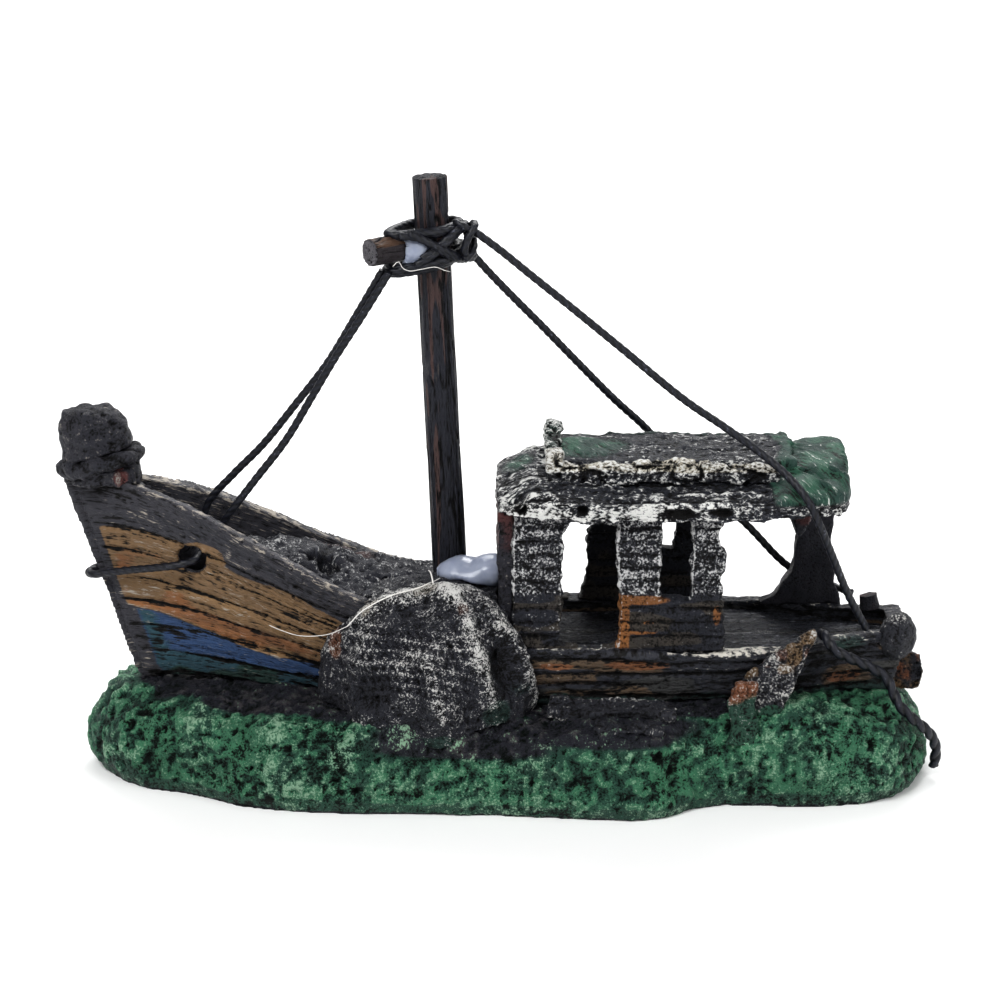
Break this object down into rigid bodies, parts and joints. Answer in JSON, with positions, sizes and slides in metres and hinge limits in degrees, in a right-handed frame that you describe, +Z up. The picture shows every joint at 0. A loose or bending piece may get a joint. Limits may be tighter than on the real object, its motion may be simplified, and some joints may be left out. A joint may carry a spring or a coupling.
{
  "type": "bubbling shipwreck aquarium ornament",
  "caption": "Wrecked fishing boat on a mossy rock base, with mast, cord rigging and an open cabin; a hidden air outlet sends bubbles up through its hold.",
  "frame": {"origin": "on the surface it stands on, under the middle of its box without the free rope's tail", "axes": "+Z up, +X along the boat towards the stern, +Y towards the back; the decorated front side faces -Y"},
  "size_m": [0.1658, 0.063, 0.1136],
  "materials": {
    "moss": "cast resin rock, painted green with a dark wash, matte",
    "planks": "cast resin planking, painted ochre, blue and charcoal, worn, matte",
    "charcoal": "cast resin, charcoal paint with pale dry brushing, matte",
    "net": "cast resin net heap, charcoal with cream dry brushing, matte",
    "whitewash": "cast resin, charcoal under worn off-white paint, matte",
    "rust": "cast resin, rust-brown paint, matte",
    "wood": "dark stained dowel with open grain",
    "bamboo": "bamboo, dark wash",
    "glue": "milky hot-melt glue, glossy",
    "cord": "black waxed cotton cord",
    "airline": "clear soft PVC",
    "stone": "sintered mineral air stone, matte blue-grey"
  },
  "bodies": {
    "root": {"rock_base": "moss", "bow_hull": "planks", "stem_head": "charcoal", "stem_lashing": "charcoal", "hold_rubble": "charcoal", "net_heap": "net", "stern_hull": "planks", "stern_deck": "charcoal", "near_cabin_wall": "whitewash", "far_cabin_wall": "whitewash", "front_cabin_wall": "rust", "rear_cabin_post": "charcoal", "cabin_roof": "whitewash", "roof_coaming": "whitewash", "roof_shard": "rust", "leaning_plank": "whitewash", "plank_stub": "rust", "near_quarter_block": "charcoal", "far_bitt": "rust", "rudder": "rust", "mast": "wood", "yard_peg": "bamboo", "mast_foot_glue": "glue", "yard_glue": "glue", "mast_lashing": "cord", "near_forestay": "cord", "far_forestay": "cord", "bow_rope": "cord", "near_backstay": "cord", "far_backstay": "cord", "stern_rope": "cord", "air_nipple": "airline", "air_tube": "airline", "air_stone": "stone", "fallen_plank_1": "charcoal", "fallen_plank_2": "charcoal"}
  },
  "joints": []
}
